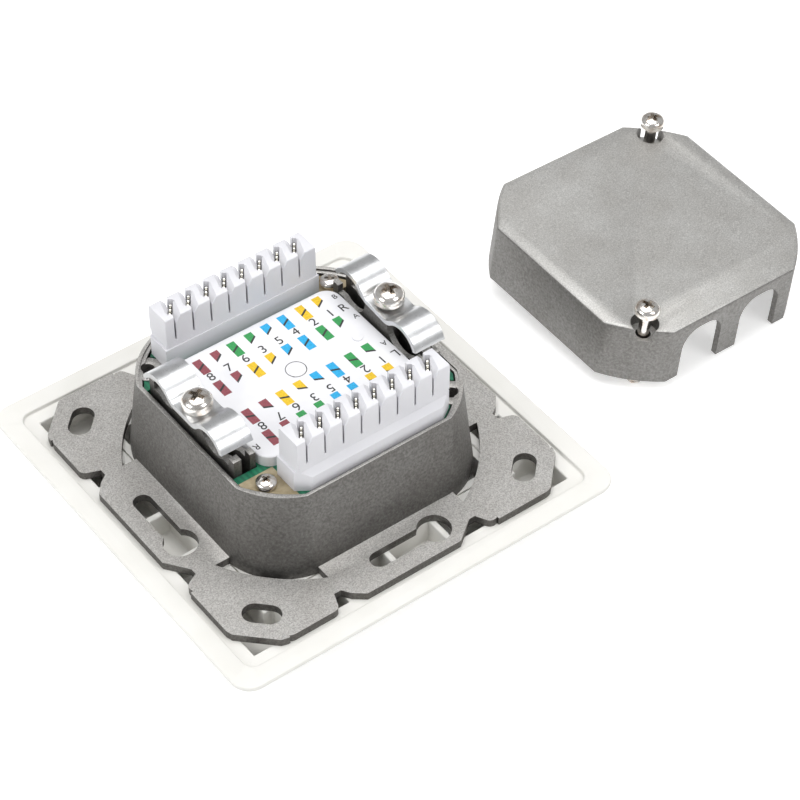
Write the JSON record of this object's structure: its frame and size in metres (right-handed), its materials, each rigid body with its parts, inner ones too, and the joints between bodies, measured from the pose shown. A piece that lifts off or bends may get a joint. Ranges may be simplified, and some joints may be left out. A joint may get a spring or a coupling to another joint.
{
  "type": "shielded network wall outlet",
  "caption": "Flush shielded network wall outlet with sockets, terminal blocks, cable clamps and cast carrier, shown open with its lid and captive screws beside it.",
  "frame": {"origin": "centre of the front face of the plate, which lies on the floor", "axes": "+Z from the room side towards the wall side, +X along the terminal blocks towards the lid, +Y across the blocks"},
  "size_m": [0.1464, 0.08, 0.0357],
  "materials": {
    "white_plastic": "satin",
    "terminal_plastic": "satin",
    "cast_zinc": "as cast",
    "board_green": "satin",
    "card_white": "printed",
    "clamp_steel": "polished",
    "screw_nickel": "plated",
    "contact_metal": "plated",
    "socket_black": "satin",
    "shield_sheet": "plated",
    "gold_wire": "plated"
  },
  "bodies": {
    "root": {"cover_frame": "white_plastic", "centre_plate": "white_plastic", "centre_screw": "screw_nickel", "cast_body": "cast_zinc", "circuit_board": "board_green", "board_screw_front": "screw_nickel", "board_screw_back": "screw_nickel", "terminal_block_front": "terminal_plastic", "terminal_block_back": "terminal_plastic", "terminal_contacts_front": "contact_metal", "terminal_contacts_back": "contact_metal", "label_card": "card_white", "cable_clamp_left": "clamp_steel", "cable_clamp_right": "clamp_steel", "clamp_screw_left": "screw_nickel", "clamp_screw_right": "screw_nickel", "socket_housing_front": "socket_black", "socket_housing_back": "socket_black", "socket_shield_front": "shield_sheet", "socket_shield_back": "shield_sheet", "socket_wires_front": "gold_wire", "socket_wires_back": "gold_wire", "lid": "cast_zinc", "lid_screw_front": "screw_nickel", "lid_screw_back": "screw_nickel"}
  },
  "joints": []
}
